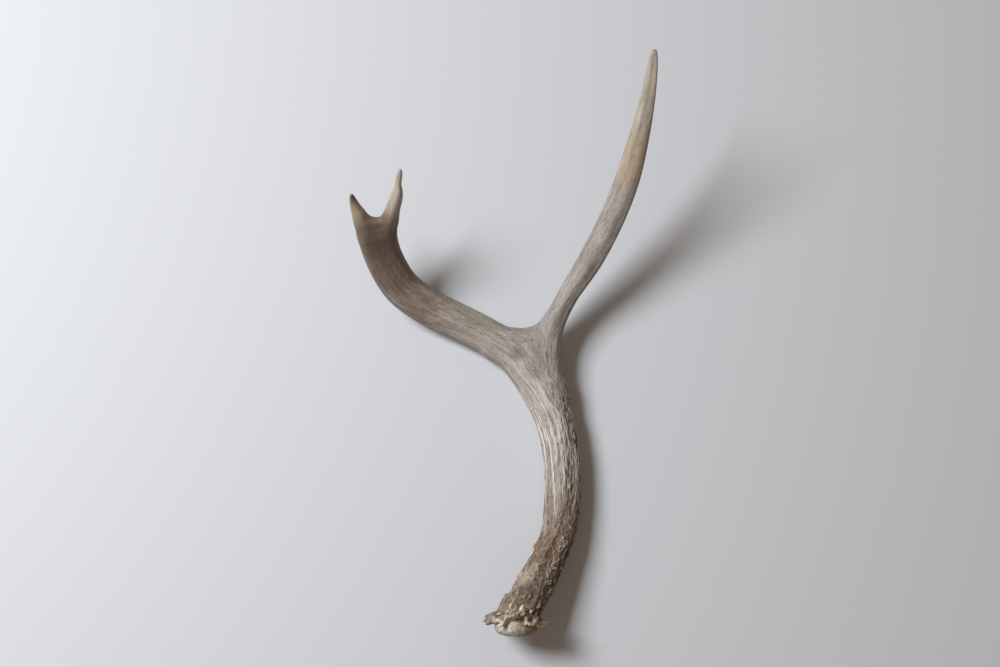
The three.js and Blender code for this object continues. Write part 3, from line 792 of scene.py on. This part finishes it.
# Mixes in a mark's colour round its place, be it a stain, painted shade or a painted highlight.
def stainedAndShaded(tree, colour, place, uneven, relief, markLook):
    centre = lain @ (Vector(markLook["at"]) * 0.001)
    reach = markLook["reach"] * 0.001
    away = addNode(tree, "ShaderNodeVectorMath", {"operation": "DISTANCE"}, {0: place, 1: centre}).outputs[1]
    edge = calc(tree, "MULTIPLY_ADD", uneven, -reach, away)
    share = ease(tree, edge, reach * 0.45, -reach * 0.3, 0.0, markLook["strength"])
    if markLook.get("raised"):
        share = calc(tree, "MULTIPLY", share, ease(tree, relief, 0.1, 0.7))
    return mixColour(tree, share, colour, markLook["colour"])


def boneMaterial(name, slot, streaky=1.0):
    material = bpy.data.materials.new(name)
    material.use_nodes = True
    tree = material.node_tree
    shader = tree.nodes["Principled BSDF"]

    def field(fieldName, output="Vector"):
        return addNode(tree, "ShaderNodeAttribute", {"attribute_name": fieldName}).outputs[output]

    grains = readGrains(tree, field("beamGrain"), field("sideGrain"), field("sideShare", "Fac"))
    tone = addNode(tree, "ShaderNodeSeparateXYZ", None, {0: field("tone")}).outputs
    rough = addNode(tree, "ShaderNodeSeparateXYZ", None, {0: field("rough")}).outputs
    relief = field("relief", "Fac")
    place = addNode(tree, "ShaderNodeTexCoord").outputs["Object"]

    def around(value, amount):
        return calc(tree, "MULTIPLY", calc(tree, "SUBTRACT", value, 0.5), amount)

    broad = grainNoise(tree, grains, (0.42, 0.42, 0.04), 3.0, 0.55, 2.0)
    fine = grainNoise(tree, grains, (1.6, 1.6, 0.16), 3.0, 0.6)
    speck = grainNoise(tree, grains, (1.3, 1.3, 0.4), 2.0)
    patch = noise(tree, vectorCalc(tree, "MULTIPLY", place, (38, 38, 38)), 3.0, 0.55).outputs[0]
    fading = calc(tree, "SUBTRACT", 1.0, calc(tree, "MULTIPLY", tone[2], 0.75))
    value = calc(tree, "ADD", tone[0], around(patch, 0.3))
    streaks = calc(tree, "ADD", around(broad, 0.42 * streaky), around(fine, 0.5 * streaky))
    streaks = calc(tree, "SUBTRACT", streaks, ease(tree, speck, 0.56, 0.7, 0.0, 0.2 * streaky))
    value = calc(tree, "ADD", value, calc(tree, "MULTIPLY", streaks, fading))
    colour = mixColour(tree, tone[1], toneRamp(tree, value, boneLook["coolTones"]), toneRamp(tree, value, boneLook["warmTones"]))

    # Dashes are sparse on the pale left of the beam and crowd its right.
    rightward = ease(tree, addNode(tree, "ShaderNodeSeparateXYZ", None, {0: grains["beam"]}).outputs[0], -9.0, 8.0, 0.35, 1.0)
    furrow = calc(tree, "MULTIPLY", calc(tree, "MULTIPLY", furrowField(tree, grains), rough[1]), rightward)
    hollow = ease(tree, relief, -0.05, -0.6)
    dirty = calc(tree, "MULTIPLY", calc(tree, "MAXIMUM", hollow, furrow), 0.88)
    colour = mixColour(tree, dirty, colour, boneLook["dirt"])
    lines = calc(tree, "MULTIPLY", crestField(tree, grains, "curl"), 0.5)
    lines = calc(tree, "MULTIPLY", calc(tree, "MAXIMUM", crestField(tree, grains, "crest"), lines), rough[0])
    crest = calc(tree, "MAXIMUM", calc(tree, "MULTIPLY", lines, 0.7), ease(tree, relief, 0.35, 1.15))
    crest = calc(tree, "MULTIPLY", crest, calc(tree, "ADD", 0.55, around(patch, 2.2)))
    colour = mixColour(tree, addNode(tree, "ShaderNodeClamp", None, {0: crest}).outputs[0], colour, boneLook["crest"])

    # Long chalky streaks where the skin is smooth, on the side away from the dashes.
    chalk = ease(tree, grainNoise(tree, grains, (0.5, 0.5, 0.02), 1.0, 0.5, 1.5), 0.51, 0.62, 0.0, 0.7)
    chalk = calc(tree, "MULTIPLY", chalk, calc(tree, "SUBTRACT", 1.35, rightward))
    chalk = calc(tree, "MULTIPLY", chalk, calc(tree, "SUBTRACT", rough[1], calc(tree, "MULTIPLY", rough[0], 0.8)))
    colour = mixColour(tree, addNode(tree, "ShaderNodeClamp", None, {0: chalk}).outputs[0], colour, boneLook["chalk"])
    for markLook in stainsAndShades.values():
        if slot in markLook["on"]:
            colour = stainedAndShaded(tree, colour, place, patch, relief, markLook)
    # The seal is porous and mottled.
    mottle = ease(tree, grainNoise(tree, grains, (0.3, 0.3, 0.3), 3.0, 0.65), 0.5, 0.4, 0.0, 0.6)
    mottle = calc(tree, "MULTIPLY", mottle, rough[2])
    colour = mixColour(tree, mottle, colour, boneLook["pores"])
    tree.links.new(colour, shader.inputs["Base Color"])

    gloss = calc(tree, "SUBTRACT", calc(tree, "ADD", 0.66, calc(tree, "MULTIPLY", dirty, 0.2)), calc(tree, "MULTIPLY", tone[2], 0.22))
    tree.links.new(calc(tree, "ADD", gloss, around(fine, 0.12)), shader.inputs["Roughness"])
    grit = noise(tree, vectorCalc(tree, "MULTIPLY", place, (1600, 1600, 1600)), 2.0).outputs[0]
    bumps = calc(tree, "ADD", calc(tree, "MULTIPLY", calc(tree, "ADD", fine, calc(tree, "MULTIPLY", broad, 0.6)), fading), calc(tree, "MULTIPLY", grit, 0.25))
    bumps = calc(tree, "SUBTRACT", bumps, calc(tree, "MULTIPLY", furrow, 0.8))
    bump = addNode(tree, "ShaderNodeBump", None, {"Strength": 0.7, "Distance": 0.00035, "Height": bumps})
    tree.links.new(bump.outputs[0], shader.inputs["Normal"])
    return material


boneMaterials = {
    "beam_bone": boneMaterial("beamBone", "beam_bone"),
    "branch_bone": boneMaterial("branchBone", "branch_bone", 0.8),
    "rear_tine_bone": boneMaterial("rearTineBone", "rear_tine_bone"),
    "small_tine_bone": boneMaterial("smallTineBone", "small_tine_bone"),
}
print("bone mixed")

pieceList = {
    "mainBeam": {"node": "main_beam", "slot": "beam_bone"},
    "frontBranch": {"node": "front_branch", "slot": "branch_bone"},
    "rearTine": {"node": "rear_tine", "slot": "rear_tine_bone"},
    "frontTineOuter": {"node": "front_tine_outer", "slot": "small_tine_bone"},
    "frontTineInner": {"node": "front_tine_inner", "slot": "small_tine_bone"},
}


def splitPlane(limb, station):
    row = [np.interp(station, limb["table"][:, 15], limb["table"][:, column]) for column in range(14)]
    return lain @ (Vector(row[:3]) * 0.001), turned.to_3x3() @ Vector(row[3:6]), max(row[12:14]) * 0.001


def tipOf(limb):
    return lain @ (Vector(limb["table"][-1, :3]) * 0.001)


hide.transform(asLaid)
laidPoints = pointsOf(hide)
print("skin passes the box by", [round(float(over) * 1000, 2) for over in
      np.concatenate([np.array(cadBox[0]) - laidPoints.min(0), laidPoints.max(0) - np.array(cadBox[1])])], "mm")
setPoints(hide, np.clip(laidPoints, np.array(cadBox[0]), np.array(cadBox[1])))

whole = bmesh.new()
whole.from_mesh(hide)
cutEdges = set()
for limb, key in [(trunk, "front"), (rear, "rear"), (outer, "outer"), (inner, "inner")]:
    centre, along, reach = splitPlane(limb, splits[key])
    close = [face for face in whole.faces
             if abs((face.verts[0].co - centre).dot(along)) < 0.003 and (face.verts[0].co - centre).length < reach * 1.45]
    around = {*close, *(edge for face in close for edge in face.edges), *(vert for face in close for vert in face.verts)}
    cut = bmesh.ops.bisect_plane(whole, geom=list(around), dist=1e-7, plane_co=centre, plane_no=along)
    cutEdges |= {edge for edge in cut["geom_cut"] if isinstance(edge, bmesh.types.BMEdge)}
whole.normal_update()
whole.faces.index_update()
whole.verts.index_update()
print("cut at the forks,", len(cutEdges), "edges")

share = {}
starts = {"mainBeam": lain @ (Vector(trunk["table"][100, :3]) * 0.001), "frontBranch": lain @ (Vector(trunk["table"][240, :3]) * 0.001),
          "rearTine": tipOf(rear), "frontTineOuter": tipOf(outer), "frontTineInner": tipOf(inner)}
for name, start in starts.items():
    first = min(whole.faces, key=lambda face: (face.verts[0].co - start).length_squared)
    found = {first}
    edgeOfWork = [first]
    while edgeOfWork:
        face = edgeOfWork.pop()
        for edge in face.edges:
            if edge in cutEdges:
                continue
            for other in edge.link_faces:
                if other not in found:
                    found.add(other)
                    edgeOfWork.append(other)
    share[name] = found
    print(name, len(found), "faces")

wholeNormals = np.array([vert.normal for vert in whole.verts])
wholePoints = np.array([vert.co for vert in whole.verts])
fields = {layer: np.array([vert[whole.verts.layers.float_vector[layer]] for vert in whole.verts])
          for layer in ("beamGrain", "sideGrain", "tone", "rough")}
for layer in ("sideShare", "relief"):
    fields[layer] = np.array([vert[whole.verts.layers.float[layer]] for vert in whole.verts])

for name, made in pieceList.items():
    corners = [[vert.index for vert in face.verts] for face in share[name]]
    used = sorted({corner for face in corners for corner in face})
    newIndex = {old: new for new, old in enumerate(used)}
    mesh = meshFrom(name, wholePoints[used], [[newIndex[corner] for corner in face] for face in sorted(corners)])
    for fieldName, values in fields.items():
        storeField(mesh, fieldName, values[used])
    build = bmesh.new()
    build.from_mesh(mesh)
    skinFaces = len(build.faces)
    bmesh.ops.holes_fill(build, edges=[edge for edge in build.edges if edge.is_boundary], sides=0)
    build.to_mesh(mesh)
    openEdges = sum(not edge.is_manifold for edge in build.edges)
    build.free()
    mesh.polygons.foreach_set("use_smooth", [True] * len(mesh.polygons))
    normals = np.zeros((len(mesh.loops), 3))
    for polygon in mesh.polygons[skinFaces:]:
        normals[polygon.loop_start:polygon.loop_start + polygon.loop_total] = polygon.normal
    loopPoint = np.empty(len(mesh.loops), int)
    mesh.loops.foreach_get("vertex_index", loopPoint)
    skinLoops = sum(polygon.loop_total for polygon in mesh.polygons[:skinFaces])
    normals[:skinLoops] = wholeNormals[used][loopPoint[:skinLoops]]
    mesh.normals_split_custom_set([tuple(normal) for normal in normals])
    mesh.materials.append(boneMaterials[made["slot"]])
    piece = objectFrom(name, mesh)
    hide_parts(made["node"])
    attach(piece, "root")
    print(name, len(mesh.polygons), "faces,", len(mesh.polygons) - skinFaces, "end faces,", openEdges, "open edges")
whole.free()

stageLook = {
    "floorSize": 6.0, "floorColour": (0.62, 0.635, 0.665), "floorRoughness": 0.7,
    "lens": 60, "sensor": 36, "distance": 1.3,
    "keyFrom": (-0.7, 0.5, 1.0), "keyDistance": 2.0, "keySize": 0.65, "keyPower": 46, "keyColour": (0.93, 0.965, 1.0),
    "skyColour": (1.0, 0.8, 0.64), "skyStrength": 0.2,
}


def setStage():
    half = stageLook["floorSize"] / 2
    floor = objectFrom("floor", meshFrom("floor", [(-half, -half, 0), (half, -half, 0), (half, half, 0), (-half, half, 0)],
                                         [[0, 1, 2, 3]]))
    paint = bpy.data.materials.new("floorPaint")
    paint.use_nodes = True
    shader = paint.node_tree.nodes["Principled BSDF"]
    shader.inputs["Base Color"].default_value = (*stageLook["floorColour"], 1)
    shader.inputs["Roughness"].default_value = stageLook["floorRoughness"]
    floor.data.materials.append(paint)

    camera = bpy.data.objects.new("camera", bpy.data.cameras.new("camera"))
    camera.data.lens = stageLook["lens"]
    camera.data.sensor_width = stageLook["sensor"]
    bpy.context.scene.collection.objects.link(camera)
    camera.matrix_world = lain @ Matrix.Translation((0, 0, stageLook["distance"]))
    bpy.context.scene.camera = camera

    light = bpy.data.objects.new("window", bpy.data.lights.new("window", "AREA"))
    light.data.shape = "SQUARE"
    light.data.size = stageLook["keySize"]
    light.data.energy = stageLook["keyPower"]
    light.data.color = stageLook["keyColour"]
    bpy.context.scene.collection.objects.link(light)
    towards = (turned.to_3x3() @ Vector(stageLook["keyFrom"])).normalized()
    light.location = towards * stageLook["keyDistance"]
    light.rotation_mode = "QUATERNION"
    light.rotation_quaternion = towards.to_track_quat("Z", "Y")

    world = bpy.data.worlds.new("sky")
    world.use_nodes = True
    world.node_tree.nodes["Background"].inputs[0].default_value = (*stageLook["skyColour"], 1)
    world.node_tree.nodes["Background"].inputs[1].default_value = stageLook["skyStrength"]
    bpy.context.scene.world = world
    bpy.context.scene.view_settings.view_transform = "Standard"


setStage()
print("stage set")
